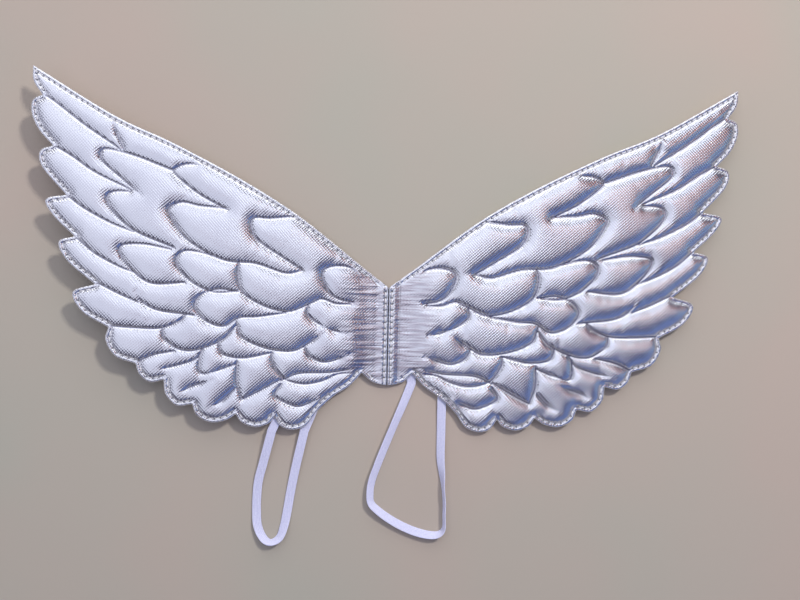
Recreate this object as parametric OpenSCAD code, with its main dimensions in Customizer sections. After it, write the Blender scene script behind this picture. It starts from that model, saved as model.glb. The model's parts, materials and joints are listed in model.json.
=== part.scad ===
// Padded foil fairy wings: two quilted panels joined by a centre seam, with two
// elastic arm loops sewn to the back. They lie face up: X is the span, Y runs
// from the lower edge to the tips and Z is the thickness. The seam is at x = 0
// and the lowest face at z = 0.

/* [Wings] */
// Rise of the left wing from the seam to the tip, degrees
left_lift = 3.5; // [0:0.5:5]
// Rise of the right wing from the seam to the tip, degrees
right_lift = 1.2; // [0.5:0.1:5]
// Thickness of the foil facing
face_t = 0.6; // [0.4:0.1:0.8]
// Thickness of the backing fabric
backing_t = 0.6; // [0.4:0.1:0.8]
// Thickness of the foam at the middle of a panel
foam_t = 4.2; // [3:0.3:6]
// Width of the flat border between the outline and the foam
border_w = 4.5; // [4:0.5:7]
// Height of the seam's middle below the middle of the wings
seam_drop = 54; // [50:1:58]

/* [Seam] */
// Half width of the turned-back seam margin
fold_w = 4.9; // [4.4:0.1:5.2]
// Distance from the seam to each topstitched row
topstitch_x = 2.2; // [1.8:0.1:2.8]

/* [Thread] */
// Distance between stitches
stitch_pitch = 4.2; // [3.5:0.1:6]
// Length of a stitch on the surface
stitch_l = 3.1; // [2.4:0.1:3.2]
// Width of the thread
thread_w = 0.5; // [0.3:0.1:0.7]
// Height of the thread above the surface
thread_t = 0.3; // [0.2:0.1:0.3]
// Distance from the outline to the row of edge stitches
edge_row = 2.4; // [2:0.1:3]

/* [Arm loops] */
// Width of the flat elastic
strap_w = 6; // [5:0.5:8]
// Thickness of the flat elastic
strap_t = 1; // [0.8:0.1:1]
// Distance from the outline to the line about which a loop swings
loop_hinge_gap = 1.2; // [1:0.1:2]

/* [Hidden] */
// Outline of the right wing as stretches that meet at the notches between
// feathers. Heights are measured from the middle of the seam. The stretches run
// from the seam up the top edge, then down the feather tips.
STRETCHES = [
    [[0.25, 32], [20, 47], [62, 79], [102, 103], [148, 126], [187, 143], [240, 174]],
    [[240, 174], [239.5, 164], [233.5, 154.5]],
    [[233.5, 154.5], [239.5, 151], [240, 142], [235, 131], [226, 121]],
    [[226, 121], [234, 117], [232, 106], [216.5, 88.5]],
    [[216.5, 88.5], [229.5, 85], [224, 74], [210.5, 61]],
    [[210.5, 61], [220.5, 57], [214.5, 44.5], [196.5, 29.5]],
    [[196.5, 29.5], [210.5, 24], [204, 11], [187, 1]],
    [[187, 1], [188.5, -7.5], [182, -18], [168.5, -23]],
    [[168.5, -23], [166, -30], [159, -35], [150, -33.5]],
    [[150, -33.5], [148.5, -43], [141, -50.5], [131, -49.5]],
    [[131, -49.5], [127.5, -57], [118.5, -61.5], [108.5, -60], [102, -56]],
    [[102, -56], [97.5, -61.5], [89, -64.5], [80, -62], [76, -57.5]],
    [[76, -57.5], [71, -64], [63, -66], [54, -62.5], [47, -53], [36.5, -43], [26, -36], [17.5, -27]],
    [[17.5, -27], [11, -32.5], [5, -34.5], [0.25, -35]]
];
CURVE_STEPS = 5;
// Levels: the elastic lies on the floor side, the thread just above it, and the
// backing on top of both.
panel_z = strap_t + thread_t + 0.1;
hinge_x = 5.5;
web_t = face_t + backing_t;
hinge_z = panel_z + web_t / 2;
panel_x = 2 * hinge_x - fold_w;
seam_face_x = 0.25;
seam_top = 32;
seam_bottom = -35;
foam_steps = 2;
foam_step_w = 3;
// The turned-back margin: its rounded edges and the lip that it leaves at its end
fold_round_top = 0.65;
fold_round_bottom = 0.55;
fold_lip = 0.7;
// First stitch of the seam rows above the bottom of the seam
seam_row_start = 1;
// Zigzag of the blocks that hold the elastic
bartack_rows = 6;
bartack_pitch = 1.2;
bartack_start = 2;
bartack_slant = 12;
// Longer than the whole model, for cutting a shape along a line
reach = 300;
// Where the elastic is sewn to the back and where each loop swings: the upper
// and lower anchors, then the two ends of the hinge line.
LEFT_ANCHORS = [[-36, 25], [-38, -23]];
LEFT_EXITS = [[-78, -68], [-56, -68]];
RIGHT_ANCHORS = [[36, 25], [38, -23]];
RIGHT_EXITS = [[16, -32], [38, -46]];
// Routes of the free loops over the floor, from the upper exit to the lower one:
// across, up, height of the middle of the elastic, and its roll in degrees, which
// lifts the edge on the inner side of the loop, or the outer edge where negative.
LEFT_ROUTE = [
    [-78, -69, 4.8, 0], [-80, -77, 4.1, 0], [-83, -89, 2.5, 0], [-86, -101, 1.2, 0],
    [-87, -112, 0.6, 0], [-87, -122, 0.6, 0], [-86, -132, 1.3, -15], [-82, -140, 2.4, -38],
    [-77, -143, 3.0, -58], [-71, -140, 2.4, -38], [-68, -132, 1.3, -15], [-66, -121, 0.6, 0],
    [-64, -108, 0.8, 0], [-61, -92, 1.9, 0], [-58, -78, 3.1, 0], [-56, -69, 3.7, 0]
];
RIGHT_ROUTE = [
    [17, -33, 0.9, 0], [13, -44, 1.3, -15], [6, -61, 2.0, -30], [0, -76, 2.0, -30],
    [-5, -89, 2.1, -32], [-9, -101, 2.2, -35], [-10, -110, 2.4, -38], [-9, -116, 2.4, -40],
    [-4, -121, 2.4, -38], [3, -126, 2.1, -32], [12, -131, 1.9, -28], [22, -135, 1.9, -28],
    [32, -137, 2.4, -40], [38, -136, 2.9, -60], [41, -132, 3.1, -75], [41, -124, 3.1, -78],
    [41, -115, 3.1, -78], [40, -104, 3.1, -75], [39, -94, 2.7, -50], [38, -84, 1.9, -28],
    [38, -64, 1.3, -15], [38, -48, 1.3, 0]
];
ROUTE_STEPS = 3;

FOIL = [0.80, 0.80, 0.86];
LINING = [0.70, 0.70, 0.74];
FOAM = [0.95, 0.94, 0.88];
THREAD = [0.86, 0.86, 0.90];
ELASTIC = [0.93, 0.92, 0.97];

// A smooth curve through the points, with a corner kept at each end.
function point_at(p, i) =
    i < 0 ? 2 * p[0] - p[1] :
    i >= len(p) ? 2 * p[len(p) - 1] - p[len(p) - 2] : p[i];
function curve_point(p, i, t) =
    let (a = point_at(p, i - 1), b = point_at(p, i), c = point_at(p, i + 1), d = point_at(p, i + 2))
    0.5 * (2 * b + (c - a) * t + (2 * a - 5 * b + 4 * c - d) * pow(t, 2)
        + (3 * b - a - 3 * c + d) * pow(t, 3));
function curve(p, steps) = [
    for (i = [0 : len(p) - 2]) for (k = [0 : steps - 1]) curve_point(p, i, k / steps),
    p[len(p) - 1]
];
function run_lengths(p, i = 1, sum = 0) =
    i >= len(p) ? [sum] : concat([sum], run_lengths(p, i + 1, sum + norm(p[i] - p[i - 1])));
function coordinate_table(p, lengths, k) = [for (i = [0 : len(p) - 1]) [lengths[i], p[i][k]]];

// The same curve set in from the outline, on the panel's side.
function inset(p, distance) = [
    for (i = [0 : len(p) - 1])
        let (step = p[min(i + 1, len(p) - 1)] - p[max(i - 1, 0)])
        p[i] + [step[1], -step[0]] / norm(step) * distance
];

// Stitches along one stretch: each is [x, y, angle] of its middle.
function stitches(p) =
    let (
        row = inset(p, edge_row),
        lengths = run_lengths(row),
        total = lengths[len(lengths) - 1],
        xs = coordinate_table(row, lengths, 0),
        ys = coordinate_table(row, lengths, 1),
        count = max(1, floor((total - stitch_l / 2) / stitch_pitch)),
        start = (total - (count - 1) * stitch_pitch) / 2
    )
    [for (i = [0 : count - 1])
        let (
            s = start + i * stitch_pitch,
            a = [lookup(s - stitch_l / 2, xs), lookup(s - stitch_l / 2, ys)],
            b = [lookup(s + stitch_l / 2, xs), lookup(s + stitch_l / 2, ys)],
            middle = (a + b) / 2
        )
        if (middle[0] > panel_x + stitch_l) [middle[0], middle[1], atan2(b[1] - a[1], b[0] - a[0])]
    ];

OUTLINE = [for (p = STRETCHES) let (c = curve(p, CURVE_STEPS)) for (i = [0 : len(c) - 2]) c[i]];
EDGE_STITCHES = [for (p = STRETCHES) for (s = stitches(curve(p, CURVE_STEPS))) s];

module outline() {
    polygon(concat(OUTLINE, [[seam_face_x, seam_bottom]]));
}

module panel_outline() {
    intersection() {
        outline();
        translate([panel_x, -reach]) square([reach, 2 * reach]);
    }
}

// Places a piece drawn for the right wing: lifted about its hinge line, and
// mirrored for the left wing.
module on_wing(left) {
    lift = left ? left_lift : right_lift;
    mirror([left ? 1 : 0, 0, 0])
        translate([hinge_x, -seam_drop, hinge_z])
            rotate([0, -lift, 0])
                translate([-hinge_x, 0, -hinge_z])
                    children();
}

module foam_form(grow) {
    for (i = [0 : foam_steps - 1])
        linear_extrude((i + 1) * foam_t / foam_steps + grow)
            offset(r = grow - border_w - i * foam_step_w, $fn = 24)
                panel_outline();
}

module wing_backing() {
    color(LINING) translate([0, 0, panel_z]) linear_extrude(backing_t) panel_outline();
}

module wing_foam() {
    color(FOAM) translate([0, 0, panel_z + backing_t]) foam_form(0);
}

module wing_face() {
    color(FOIL) translate([0, 0, panel_z + backing_t]) difference() {
        union() {
            linear_extrude(face_t) panel_outline();
            foam_form(face_t);
        }
        foam_form(0);
    }
}

module edge_thread(z) {
    color(THREAD)
        for (s = EDGE_STITCHES)
            translate([s[0], s[1], z])
                rotate([0, 0, s[2]])
                    translate([-stitch_l / 2, -thread_w / 2, 0])
                        cube([stitch_l, thread_w, thread_t]);
}

// The margin of a panel, turned down at the seam and back under itself.
module seam_fold() {
    color(FOIL)
        translate([0, seam_top - seam_drop, 0])
            rotate([90, 0, 0])
                linear_extrude(seam_top - seam_bottom)
                    polygon([
                        [fold_w, panel_z + web_t],
                        [seam_face_x + fold_round_top, panel_z + web_t],
                        [seam_face_x, panel_z + web_t - fold_round_top],
                        [seam_face_x, fold_round_bottom],
                        [seam_face_x + fold_round_bottom, 0],
                        [fold_w - fold_lip, 0],
                        [fold_w - fold_lip, panel_z],
                        [fold_w, panel_z]
                    ]);
}

module seam_row(x, z, wide) {
    count = floor((seam_top - seam_bottom) / stitch_pitch) - 1;
    color(THREAD)
        for (i = [0 : count])
            translate([
                x - wide / 2,
                seam_bottom - seam_drop + seam_row_start + (i + 0.5) * stitch_pitch - stitch_l / 2,
                z
            ])
                cube([wide, stitch_l, thread_t]);
}

// The sewn end of the elastic, from its anchor to just short of the hinge line.
module strap_leg(anchor, exit, exits) {
    along = (exit - anchor) / norm(exit - anchor);
    side = [-along[1], along[0]] * strap_w / 2;
    line = (exits[1] - exits[0]) / norm(exits[1] - exits[0]);
    far = exit + along * 3 * strap_w;
    color(ELASTIC) linear_extrude(strap_t) intersection() {
        polygon([anchor + side, far + side, far - side, anchor - side]);
        translate(exits[0])
            rotate(atan2(line[1], line[0]))
                translate([-reach, loop_hinge_gap / 2])
                    square([2 * reach, reach]);
    }
}

// A block of zigzag stitches that holds one end of the elastic to the backing.
module bartack(anchor, exit) {
    along = (exit - anchor) / norm(exit - anchor);
    color(THREAD)
        for (k = [0 : bartack_rows - 1])
            translate(anchor + along * (bartack_start + k * bartack_pitch))
                rotate(atan2(along[1], along[0]) + 90 + (k % 2 == 0 ? -bartack_slant : bartack_slant))
                    translate([(thread_t - strap_w) / 2, -thread_w / 2, 0])
                        cube([strap_w - thread_t, thread_w, thread_t]);
}

// The free loop: a flat band swept along its route and rolled as it says, its ends
// cut along the hinge line. The section is in halves of the width and thickness.
BAND = [[1, 0.5], [0.9, 1], [-0.9, 1], [-1, 0.5], [-1, -0.5], [-0.9, -1], [0.9, -1], [1, -0.5]];

module strap_loop(route, exits) {
    path = curve(route, ROUTE_STEPS);
    n = len(path);
    line = (exits[1] - exits[0]) / norm(exits[1] - exits[0]);
    rings = [for (i = [0 : n - 1])
        let (
            ends = i == 0 || i == n - 1,
            step = path[min(i + 1, n - 1)] - path[max(i - 1, 0)],
            flat = [step[0], step[1]] / norm([step[0], step[1]]),
            turned = cross(flat, line),
            level = ends ? line / turned : [-flat[1], flat[0]],
            roll = path[i][3],
            side = [level[0] * cos(roll), level[1] * cos(roll), sin(roll)],
            up = [-level[0] * sin(roll), -level[1] * sin(roll), cos(roll)]
        )
        for (b = BAND)
            [path[i][0], path[i][1], path[i][2]] + side * b[0] * strap_w / 2 + up * b[1] * strap_t / 2
    ];
    m = len(BAND);
    sides = [for (i = [0 : n - 2]) for (k = [0 : m - 1])
        let (a = i * m + k, b = i * m + (k + 1) % m)
        for (triangle = [[a, b, b + m], [a, b + m, a + m]]) triangle
    ];
    caps = [[for (k = [m - 1 : -1 : 0]) k], [for (k = [0 : m - 1]) (n - 1) * m + k]];
    color(ELASTIC)
        translate([0, -seam_drop, 0])
            polyhedron(points = rings, faces = concat(sides, caps), convexity = 4);
}

// The left wing's points, mirrored, because its pieces are drawn on the right.
function flipped(p) = [-p[0], p[1]];
left_anchors = [for (p = LEFT_ANCHORS) flipped(p)];
left_exits = [for (p = LEFT_EXITS) flipped(p)];
module left_leg(i) {
    on_wing(true) translate([0, 0, panel_z - thread_t - strap_t])
        strap_leg(left_anchors[i], left_exits[i], [left_exits[1], left_exits[0]]);
}
module right_leg(i) {
    on_wing(false) translate([0, 0, panel_z - thread_t - strap_t])
        strap_leg(RIGHT_ANCHORS[i], RIGHT_EXITS[i], RIGHT_EXITS);
}
module left_bartack(i) {
    on_wing(true) translate([0, 0, panel_z - 2 * thread_t - strap_t])
        bartack(left_anchors[i], left_exits[i]);
}
module right_bartack(i) {
    on_wing(false) translate([0, 0, panel_z - 2 * thread_t - strap_t])
        bartack(RIGHT_ANCHORS[i], RIGHT_EXITS[i]);
}

mirror([1, 0, 0]) seam_fold();  // left_seam_fold
seam_fold();  // right_seam_fold
seam_row(0, 0.8, 2 * seam_face_x - 0.1);  // seam_join_thread
seam_row(-topstitch_x, panel_z + web_t, thread_w);  // left_seam_topstitch
seam_row(topstitch_x, panel_z + web_t, thread_w);  // right_seam_topstitch
on_wing(true) wing_backing();  // left_wing_backing
on_wing(true) wing_foam();  // left_wing_foam
on_wing(true) wing_face();  // left_wing_face
on_wing(true) edge_thread(panel_z + web_t);  // left_edge_needle_thread
on_wing(true) edge_thread(panel_z - thread_t);  // left_edge_bobbin_thread
on_wing(false) wing_backing();  // right_wing_backing
on_wing(false) wing_foam();  // right_wing_foam
on_wing(false) wing_face();  // right_wing_face
on_wing(false) edge_thread(panel_z + web_t);  // right_edge_needle_thread
on_wing(false) edge_thread(panel_z - thread_t);  // right_edge_bobbin_thread
left_leg(0);  // left_strap_upper_leg
left_leg(1);  // left_strap_lower_leg
strap_loop(LEFT_ROUTE, LEFT_EXITS);  // left_strap_loop
left_bartack(0);  // left_upper_bartack
left_bartack(1);  // left_lower_bartack
right_leg(0);  // right_strap_upper_leg
right_leg(1);  // right_strap_lower_leg
strap_loop(RIGHT_ROUTE, RIGHT_EXITS);  // right_strap_loop
right_bartack(0);  // right_upper_bartack
right_bartack(1);  // right_lower_bartack
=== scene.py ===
import json
import math
import bpy
import numpy as np
from mathutils import Euler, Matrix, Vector, noise
from mathutils.geometry import delaunay_2d_cdt


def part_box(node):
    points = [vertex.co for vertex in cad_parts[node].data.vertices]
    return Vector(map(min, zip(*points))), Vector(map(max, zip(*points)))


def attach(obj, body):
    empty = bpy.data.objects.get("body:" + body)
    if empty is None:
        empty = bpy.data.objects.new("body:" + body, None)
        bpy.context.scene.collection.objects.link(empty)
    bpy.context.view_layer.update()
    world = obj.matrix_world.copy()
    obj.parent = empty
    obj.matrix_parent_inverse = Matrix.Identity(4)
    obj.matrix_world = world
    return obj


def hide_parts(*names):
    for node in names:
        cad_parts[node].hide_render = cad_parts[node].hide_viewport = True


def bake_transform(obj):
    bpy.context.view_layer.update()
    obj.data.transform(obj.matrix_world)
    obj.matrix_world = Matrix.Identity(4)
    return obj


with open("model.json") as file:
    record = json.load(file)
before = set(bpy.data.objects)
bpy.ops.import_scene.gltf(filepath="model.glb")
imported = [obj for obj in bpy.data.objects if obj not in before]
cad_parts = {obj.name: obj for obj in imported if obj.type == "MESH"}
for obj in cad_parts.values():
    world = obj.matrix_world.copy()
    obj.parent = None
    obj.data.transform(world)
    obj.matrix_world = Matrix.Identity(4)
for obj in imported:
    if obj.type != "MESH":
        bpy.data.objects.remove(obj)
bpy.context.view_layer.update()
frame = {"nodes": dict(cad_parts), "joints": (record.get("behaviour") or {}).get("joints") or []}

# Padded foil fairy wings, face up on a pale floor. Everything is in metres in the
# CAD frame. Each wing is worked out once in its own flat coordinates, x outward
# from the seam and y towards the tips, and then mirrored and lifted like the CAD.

MM = 0.001
SIDES = ("left", "right")
scene = bpy.context.scene


def new_object(name, data):
    made = bpy.data.objects.new(name, data)
    scene.collection.objects.link(made)
    return made


# ---------------------------------------------------------------- camera
CAMERA_HEIGHT = 0.60
FRAME_WIDTH = 0.5517
camera_data = bpy.data.cameras.new("camera")
camera_data.sensor_width = 36.0
camera_data.lens = camera_data.sensor_width * CAMERA_HEIGHT / FRAME_WIDTH
camera_data.clip_start = 0.01
camera = new_object("camera", camera_data)
camera.location = (-0.0152, -0.0428, CAMERA_HEIGHT)
camera.rotation_euler = Euler([math.radians(a) for a in (1.14, -2.23, 1.19)], "XYZ")
scene.camera = camera
scene.view_settings.view_transform = "Standard"

# ---------------------------------------------------------------- dimensions
SEAM_Y = -54 * MM            # height of the seam's middle
HINGE_BLEND = 1.5 * MM       # half width of the bend at each wing's hinge line
ROW_INSET = 2.4 * MM         # edge stitches, from the outline
STITCH_PITCH = 4.2 * MM
STITCH_L = 3.1 * MM
THREAD_R = 0.36 * MM
TOPSTITCH_X = 2.2 * MM
FACE_T = 0.45 * MM
WEB_RISE = 0.6 * MM          # top of a facing held down flat, above the CAD backing
BORDER_W = 3.0 * MM          # flat border between the outline and the foam
PAD_LOFT = 1.25 * MM         # sharp rise of a pad beside a groove
PAD_SOFTNESS = 0.5 * MM      # how fast a pad rises from a groove
DOME_LOFT = 2.0 * MM         # broad doming of a pad
DOME_SOFTNESS = 6.0 * MM
GROOVE_HALF = 0.2 * MM
GROOVE_END = 10 * MM         # a groove that meets nothing fades over this length
GROOVE_SHADE_HALF = 0.45 * MM      # half width of the painted shade line in a groove
CELL = 0.3 * MM              # grid on which the pads' shape is solved
RELAX_STEPS = 150
FAR = 9 * MM                 # distances to the outline and the grooves stop here
WEAVE_PITCH = 1.5 * MM       # of the foil's cloth, and its angle in degrees
WEAVE_ANGLE = 42
CLOTH_CELLS = 4              # cells of that grid between two cloth nodes
CLOTH_SCALE = 20             # the cloth is simulated this many times too large
CLOTH_CAP = 0.7 * MM         # about the most that the simulation may move the facing
CLOTH_FRAMES = 20
CLOTH_HELD = 0.9 * MM        # held this near a groove
CLOTH_ROOT = 13 * MM         # and this near the seam
STRAP_W = 6.0 * MM
STRAP_T = 1.0 * MM

# Embossed feather lines of the right wing, in mm from the middle of the seam:
# x outward, y up. Each line is drawn from one end to the other.
FEATHERS = [
    [(236, 157), (225, 150), (205, 135), (182, 120)],
    [(187, 139), (185, 131), (180, 120)],
    [(168, 90), (180, 100), (193, 111), (195, 117), (190, 120), (172, 116), (147, 107)],
    [(227, 122), (213, 114), (198, 104), (174, 93)],
    [(217, 89), (205, 80), (188, 71), (172, 65)],
    [(174, 92), (183, 92), (189, 90), (190, 85), (184, 76), (170, 65), (145, 55)],
    [(127, 111), (137, 112), (145, 109), (146, 105), (130, 92), (111, 82)],
    [(112, 83), (129, 84), (140, 86), (148, 83), (149, 78), (137, 61), (113, 48), (91, 46), (71, 40),
     (60, 42)],
    [(65, 79), (82, 77), (92, 77), (95, 72), (90, 62), (72, 50), (59, 42)],
    [(19, 38), (25, 44), (34, 46), (43, 44), (46, 39), (41, 28), (34, 23), (24, 21)],
    [(102, 47), (103, 38), (99, 26), (84, 17), (68, 14), (53, 20), (46, 23), (36, 20), (26, 20)],
    [(55, 19), (55, 12), (44, 4), (28, -1)],
    [(118, 50), (130, 53), (139, 53), (144, 48), (141, 40), (131, 31), (118, 26), (102, 27)],
    [(147, 54), (165, 57), (179, 56), (181, 51), (174, 41), (160, 31), (137, 32)],
    [(209, 60), (197, 50), (182, 42), (171, 38)],
    [(196, 31), (182, 24), (168, 18)],
    [(169, 25), (166, 19), (155, 13), (131, 10)],
    [(104, 27), (116, 28), (127, 24), (131, 16), (124, 7), (112, 3), (101, 9), (89, 10), (70, 13)],
    [(187, 2), (170, 1), (153, 1), (141, 6), (137, 10)],
    [(152, 1), (150, -6), (140, -13), (128, -13), (112, -6), (103, 4)],
    [(103, 6), (99, -4), (84, -11), (66, -13), (55, -8), (44, 0)],
    [(57, -10), (52, -17), (42, -20), (26, -15)],
    [(115, -8), (111, -16), (97, -18), (78, -14)],
    [(168, -22), (157, -17), (143, -14)],
    [(155, -27), (139, -23), (129, -19), (125, -13)],
    [(127, -16), (127, -26), (122, -29), (102, -22)],
    [(141, -43), (132, -38), (118, -33)],
    [(102, -20), (102, -34), (98, -46)],
    [(98, -46), (88, -41), (72, -32)],
    [(79, -15), (78, -21), (71, -31), (58, -35), (45, -33), (34, -28), (25, -27)],
    [(72, -35), (76, -43), (66, -49), (58, -50), (45, -44)],
    [(72, -33), (60, -28), (40, -27), (22, -24)],
    [(119, -51), (111, -47), (103, -39)],
]

# The elastic of each arm loop: where its two ends are sewn to the back, where it
# leaves the wing, and the free route from one exit to the other, all in mm from the
# middle of the seam. A route point is across, up, height and roll in degrees.
ANCHORS = {"left": [(-36, 25), (-38, -23)], "right": [(36, 25), (38, -23)]}
EXITS = {"left": [(-78, -68), (-56, -68)], "right": [(16, -32), (38, -46)]}
ROUTES = {
    "left": [
        (-78, -69, 4.8, 0), (-80, -77, 4.1, 0), (-83, -89, 2.5, 0), (-86, -101, 1.2, 0),
        (-87, -112, 0.6, 0), (-87, -122, 0.6, 0), (-86, -132, 1.3, -15), (-82, -140, 2.4, -38),
        (-77, -143, 3.0, -58), (-71, -140, 2.4, -38), (-68, -132, 1.3, -15), (-66, -121, 0.6, 0),
        (-64, -108, 0.8, 0), (-61, -92, 1.9, 0), (-58, -78, 3.1, 0), (-56, -69, 3.7, 0)],
    "right": [
        (17, -33, 0.9, 0), (13, -44, 1.3, -15), (6, -61, 2.0, -30), (0, -76, 2.0, -30),
        (-5, -89, 2.1, -32), (-9, -101, 2.2, -35), (-10, -110, 2.4, -38), (-9, -116, 2.4, -40),
        (-4, -121, 2.4, -38), (3, -126, 2.1, -32), (12, -131, 1.9, -28), (22, -135, 1.9, -28),
        (32, -137, 2.4, -40), (38, -136, 2.9, -60), (41, -132, 3.1, -75), (41, -124, 3.1, -78),
        (41, -115, 3.1, -78), (40, -104, 3.1, -75), (39, -94, 2.7, -50), (38, -84, 1.9, -28),
        (38, -64, 1.3, -15), (38, -48, 1.3, 0)],
}


# ---------------------------------------------------------------- materials
class Nodes:
    """A new material with a Principled shader, and short calls for its nodes."""

    def __init__(self, name, **settings):
        self.material = bpy.data.materials.new(name)
        self.material.use_nodes = True
        self.tree = self.material.node_tree
        self.shader = self.tree.nodes["Principled BSDF"]
        for key, value in settings.items():
            self.shader.inputs[key.replace("_", " ")].default_value = value

    def add(self, kind, inputs=(), **settings):
        node = self.tree.nodes.new(kind)
        for key, value in settings.items():
            setattr(node, key, value)
        for key, value in dict(inputs).items():
            self.put(node.inputs[key], value)
        return node

    def put(self, socket, value):
        if isinstance(value, bpy.types.NodeSocket):
            self.tree.links.new(value, socket)
        elif isinstance(value, bpy.types.Node):
            self.tree.links.new(value.outputs[0], socket)
        else:
            socket.default_value = value

    def math(self, operation, a, b=0.0, c=0.0):
        return self.add("ShaderNodeMath", {0: a, 1: b, 2: c}, operation=operation)

    def cut(self):
        """Place on the cut cloth, in metres, which stays with the cloth as it bends."""
        return self.add("ShaderNodeAttribute", attribute_name="cut").outputs["Vector"]

    def stretched(self, scale):
        return self.add("ShaderNodeVectorMath", {0: self.cut(), 1: scale}, operation="MULTIPLY").outputs[0]

    def noise(self, size, detail=2.0, vector=None):
        return self.add("ShaderNodeTexNoise", {
            "Vector": vector or self.cut(), "Scale": 1 / size, "Detail": detail}).outputs["Fac"]

    def threads(self, angle, pitch):
        """Ridges across the cloth, from -1 to 1, one each pitch."""
        turn, rate = math.radians(angle), 2 * math.pi / pitch
        step = (rate * math.cos(turn), rate * math.sin(turn), 0)
        along = self.add("ShaderNodeVectorMath", {0: self.cut(), 1: step}, operation="DOT_PRODUCT")
        return self.math("SINE", along.outputs["Value"]).outputs[0]

    def mark(self, name):
        return self.add("ShaderNodeAttribute", attribute_name=name).outputs["Fac"]

    def mix(self, factor, a, b):
        node = self.add("ShaderNodeMix", {"Factor": factor}, data_type="RGBA")
        for socket, value in zip([s for s in node.inputs if s.type == "RGBA"], (a, b)):
            self.put(socket, value)
        return [s for s in node.outputs if s.type == "RGBA"][0]

    def ramp(self, value, stops):
        node = self.add("ShaderNodeValToRGB", {"Fac": value})
        ends = node.color_ramp.elements
        while len(ends) < len(stops):
            ends.new(0.5)
        for end, (at, colour) in zip(ends, stops):
            end.position = at
            end.color = (*colour, 1)
        return node.outputs["Color"]

    def spread(self, value, low, high, start=0.0, end=1.0):
        """The value mapped from start..end to low..high."""
        return self.add("ShaderNodeMapRange", {
            "Value": value, "From Min": start, "From Max": end, "To Min": low, "To Max": high}).outputs[0]

    def bump(self, height, distance, under=None):
        inputs = {"Height": height, "Distance": distance, "Strength": 1.0}
        if under is not None:
            inputs["Normal"] = under
        return self.add("ShaderNodeBump", inputs).outputs["Normal"]

    def finish(self, **links):
        for key, value in links.items():
            self.put(self.shader.inputs[key.replace("_", " ")], value)
        return self.material


def weave(n, angle, pitch):
    """Two sets of ridges that cross at right angles."""
    return n.math("ADD", n.threads(angle, pitch), n.threads(angle + 90, pitch)).outputs[0]


def foil_material():
    """Brushed silver foil: worn white at its cut edge, with painted shade as dark lines along the
    embossed grooves, near-black in the needle holes and in darker streaks where it is gathered."""
    n = Nodes("silver_foil", Coat_Weight=0.05, Coat_Roughness=0.2)
    rub = n.noise(28 * MM, 3.0)
    rough = n.spread(rub, 0.17, 0.24, 0.3, 0.7)
    silver = n.ramp(rub, [(0.3, (0.77, 0.78, 0.85)), (0.7, (0.84, 0.85, 0.91))])
    flecks = n.ramp(n.noise(2 * MM), [(0.35, (0, 0, 0)), (0.65, (1, 1, 1))])
    worn = n.math("MULTIPLY", n.mark("rim"), flecks)
    colour = n.mix(worn, silver, (0.95, 0.94, 0.97, 1))
    streaks = n.noise(1.0, 3.0, n.stretched((60, 620, 0)))
    wrinkle_shade = n.ramp(streaks, [(0.40, (0.05, 0.05, 0.05)), (0.60, (0.60, 0.60, 0.60))])
    # painted shade: the gathered wrinkles by the seam are painted darker pink-grey along their streaks
    colour = n.mix(n.math("MULTIPLY", wrinkle_shade, n.mark("gather")), colour, (0.40, 0.33, 0.38, 1))
    # painted shade: a dark line along each embossed groove
    colour = n.mix(n.math("MULTIPLY", n.mark("crease"), 0.75), colour, (0.11, 0.10, 0.19, 1))
    # painted shade: each needle hole is painted near-black
    colour = n.mix(n.mark("pit"), colour, (0.03, 0.035, 0.06, 1))
    metal = n.math("SUBTRACT", 0.95, n.math("MULTIPLY", n.mark("pit"), 0.9))
    metal = n.math("SUBTRACT", metal, n.math("MULTIPLY", worn, 0.5))
    normal = n.bump(n.noise(6 * MM, 2.0), 0.08 * MM)
    normal = n.bump(n.math("MULTIPLY", streaks, n.mark("gather")), 0.30 * MM, normal)
    normal = n.bump(weave(n, WEAVE_ANGLE, WEAVE_PITCH), 0.027 * MM, normal)
    return n.finish(Base_Color=colour, Metallic=metal, Roughness=rough, Normal=normal)


def lining_material():
    n = Nodes("woven_lining", Metallic=0.0, Sheen_Weight=0.25, Sheen_Roughness=0.5)
    cloth = weave(n, 0, 0.6 * MM)
    slubs = n.noise(1.0, 2.0, n.stretched((220, 1400, 0)))
    colour = n.ramp(slubs, [(0.3, (0.50, 0.50, 0.55)), (0.7, (0.62, 0.62, 0.66))])
    rough = n.spread(slubs, 0.7, 0.9)
    return n.finish(Base_Color=colour, Roughness=rough, Normal=n.bump(cloth, 0.03 * MM))


def foam_material():
    n = Nodes("sponge_foam", Subsurface_Weight=0.1)
    cells = n.add("ShaderNodeTexVoronoi", {"Vector": n.cut(), "Scale": 1 / (0.9 * MM)}).outputs["Distance"]
    colour = n.ramp(cells, [(0.0, (0.80, 0.78, 0.68)), (0.6, (0.93, 0.91, 0.83))])
    rough = n.spread(cells, 0.95, 0.8)
    return n.finish(Base_Color=colour, Roughness=rough, Normal=n.bump(cells, 0.2 * MM))


def thread_material():
    n = Nodes("sewing_thread", Sheen_Weight=0.3)
    strands = n.threads(35, 0.35 * MM)
    tint = n.noise(6 * MM)
    colour = n.ramp(tint, [(0.3, (0.88, 0.88, 0.93)), (0.7, (0.97, 0.97, 1.0))])
    rough = n.spread(tint, 0.35, 0.55)
    return n.finish(Base_Color=colour, Roughness=rough, Normal=n.bump(strands, 0.04 * MM))


def elastic_material():
    n = Nodes("knitted_elastic", Sheen_Weight=0.35, Sheen_Roughness=0.4)
    knit = n.math("MULTIPLY", n.threads(24, 0.8 * MM), n.threads(-24, 0.8 * MM)).outputs[0]
    fuzz = n.noise(1.2 * MM, 3.0)
    colour = n.ramp(fuzz, [(0.3, (0.68, 0.69, 0.94)), (0.7, (0.78, 0.79, 1.0))])
    rough = n.spread(fuzz, 0.6, 0.85)
    return n.finish(Base_Color=colour, Roughness=rough, Normal=n.bump(knit, 0.08 * MM))


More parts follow.
